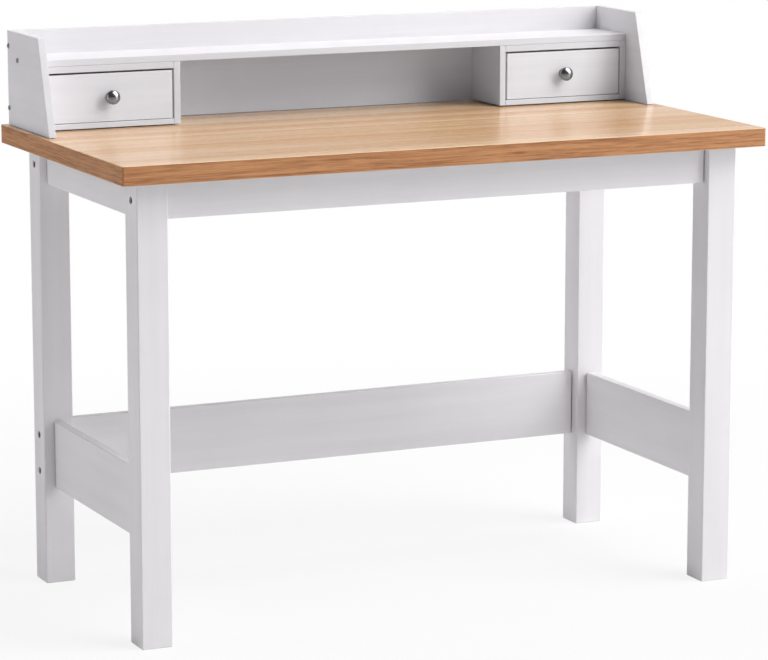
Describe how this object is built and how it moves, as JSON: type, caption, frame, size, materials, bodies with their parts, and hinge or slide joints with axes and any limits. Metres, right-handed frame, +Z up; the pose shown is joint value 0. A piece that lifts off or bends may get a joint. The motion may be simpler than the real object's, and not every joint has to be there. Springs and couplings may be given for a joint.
{
  "type": "student desk with hutch",
  "caption": "Writing desk with an oak-effect top on a white bolted frame and a low white hutch with a shelf, an open cubby and a sliding drawer at each end.",
  "frame": {"origin": "on the floor, under the middle of the worktop", "axes": "+X along the worktop's length to the sitter's right, +Y from the front to the rear, +Z up"},
  "size_m": [1.1, 0.56, 0.903],
  "materials": {
    "white_lacquered_board": "satin white lacquer on wood board",
    "oak_effect_board": "satin oak-effect laminate, grain along the length",
    "white_hardboard": "white faced hardboard",
    "polished_knob": "polished nickel-coloured metal",
    "zinc_hardware": "zinc-plated steel",
    "black_bolt": "blackened steel",
    "beech_dowel": "plain beech"
  },
  "bodies": {
    "desk": {"apron_front": "white_lacquered_board", "apron_left": "white_lacquered_board", "apron_rear": "white_lacquered_board", "apron_right": "white_lacquered_board", "bracket_screws": "zinc_hardware", "carcass_left_bottom": "white_lacquered_board", "carcass_left_inner_side": "white_lacquered_board", "carcass_left_outer_side": "white_lacquered_board", "carcass_left_top": "white_lacquered_board", "carcass_right_bottom": "white_lacquered_board", "carcass_right_inner_side": "white_lacquered_board", "carcass_right_outer_side": "white_lacquered_board", "carcass_right_top": "white_lacquered_board", "carcass_screws": "zinc_hardware", "frame_barrel_nuts": "zinc_hardware", "frame_bolts": "black_bolt", "frame_dowels": "beech_dowel", "hutch_back_panel": "white_lacquered_board", "hutch_back_screws": "zinc_hardware", "hutch_base_screws": "zinc_hardware", "hutch_dowels": "beech_dowel", "hutch_shelf": "white_lacquered_board", "hutch_side_left": "white_lacquered_board", "hutch_side_right": "white_lacquered_board", "hutch_side_screws": "zinc_hardware", "leg_front_left": "white_lacquered_board", "leg_front_right": "white_lacquered_board", "leg_rear_left": "white_lacquered_board", "leg_rear_right": "white_lacquered_board", "stretcher_left": "white_lacquered_board", "stretcher_rear": "white_lacquered_board", "stretcher_right": "white_lacquered_board", "worktop": "oak_effect_board", "worktop_brackets": "zinc_hardware"},
    "drawer_left": {"drawer_left_back": "white_lacquered_board", "drawer_left_bottom": "white_hardboard", "drawer_left_dowels": "beech_dowel", "drawer_left_front": "white_lacquered_board", "drawer_left_inner_side": "white_lacquered_board", "drawer_left_knob": "polished_knob", "drawer_left_knob_screw": "zinc_hardware", "drawer_left_outer_side": "white_lacquered_board", "drawer_left_screws": "zinc_hardware"},
    "drawer_right": {"drawer_right_back": "white_lacquered_board", "drawer_right_bottom": "white_hardboard", "drawer_right_dowels": "beech_dowel", "drawer_right_front": "white_lacquered_board", "drawer_right_inner_side": "white_lacquered_board", "drawer_right_knob": "polished_knob", "drawer_right_knob_screw": "zinc_hardware", "drawer_right_outer_side": "white_lacquered_board", "drawer_right_screws": "zinc_hardware"}
  },
  "joints": [
    {"name": "drawer_left_slide", "type": "slide", "parent": "desk", "child": "drawer_left", "axis": [0, -1, 0], "range_m": [0, 0.075]},
    {"name": "drawer_right_slide", "type": "slide", "parent": "desk", "child": "drawer_right", "axis": [0, -1, 0], "range_m": [0, 0.075]}
  ]
}
